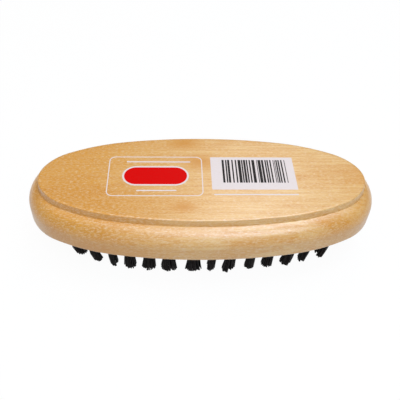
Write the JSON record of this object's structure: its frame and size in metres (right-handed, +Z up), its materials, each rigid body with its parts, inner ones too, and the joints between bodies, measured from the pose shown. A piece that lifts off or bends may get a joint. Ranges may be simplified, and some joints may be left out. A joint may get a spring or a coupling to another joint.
{
  "type": "shoe shine brush",
  "caption": "Oval shoe shine brush: moulded wooden block with a raised top plate, and black plastic bristle tufts held in its drilled underside by wire anchors.",
  "frame": {"origin": "middle of the plane of the bristle tips, under the middle of the block", "axes": "+X along the brush, +Y across it, +Z up, out of the top plate"},
  "size_m": [0.13, 0.0554, 0.03],
  "materials": {
    "lacquered_wood": "clear lacquer, satin gloss",
    "black_bristle": "drawn polypropylene filament, satin",
    "anchor_wire": "flat drawn wire"
  },
  "bodies": {
    "root": {"handle_block": "lacquered_wood", "tuft_row_01": "black_bristle", "tuft_row_02": "black_bristle", "tuft_row_03": "black_bristle", "tuft_row_04": "black_bristle", "tuft_row_05": "black_bristle", "tuft_row_06": "black_bristle", "tuft_row_07": "black_bristle", "tuft_row_08": "black_bristle", "tuft_row_09": "black_bristle", "tuft_row_10": "black_bristle", "tuft_row_11": "black_bristle", "tuft_row_12": "black_bristle", "tuft_row_13": "black_bristle", "tuft_row_14": "black_bristle", "tuft_row_15": "black_bristle", "tuft_row_16": "black_bristle", "anchor_row_01": "anchor_wire", "anchor_row_02": "anchor_wire", "anchor_row_03": "anchor_wire", "anchor_row_04": "anchor_wire", "anchor_row_05": "anchor_wire", "anchor_row_06": "anchor_wire", "anchor_row_07": "anchor_wire", "anchor_row_08": "anchor_wire", "anchor_row_09": "anchor_wire", "anchor_row_10": "anchor_wire", "anchor_row_11": "anchor_wire", "anchor_row_12": "anchor_wire", "anchor_row_13": "anchor_wire", "anchor_row_14": "anchor_wire", "anchor_row_15": "anchor_wire", "anchor_row_16": "anchor_wire"}
  },
  "joints": []
}
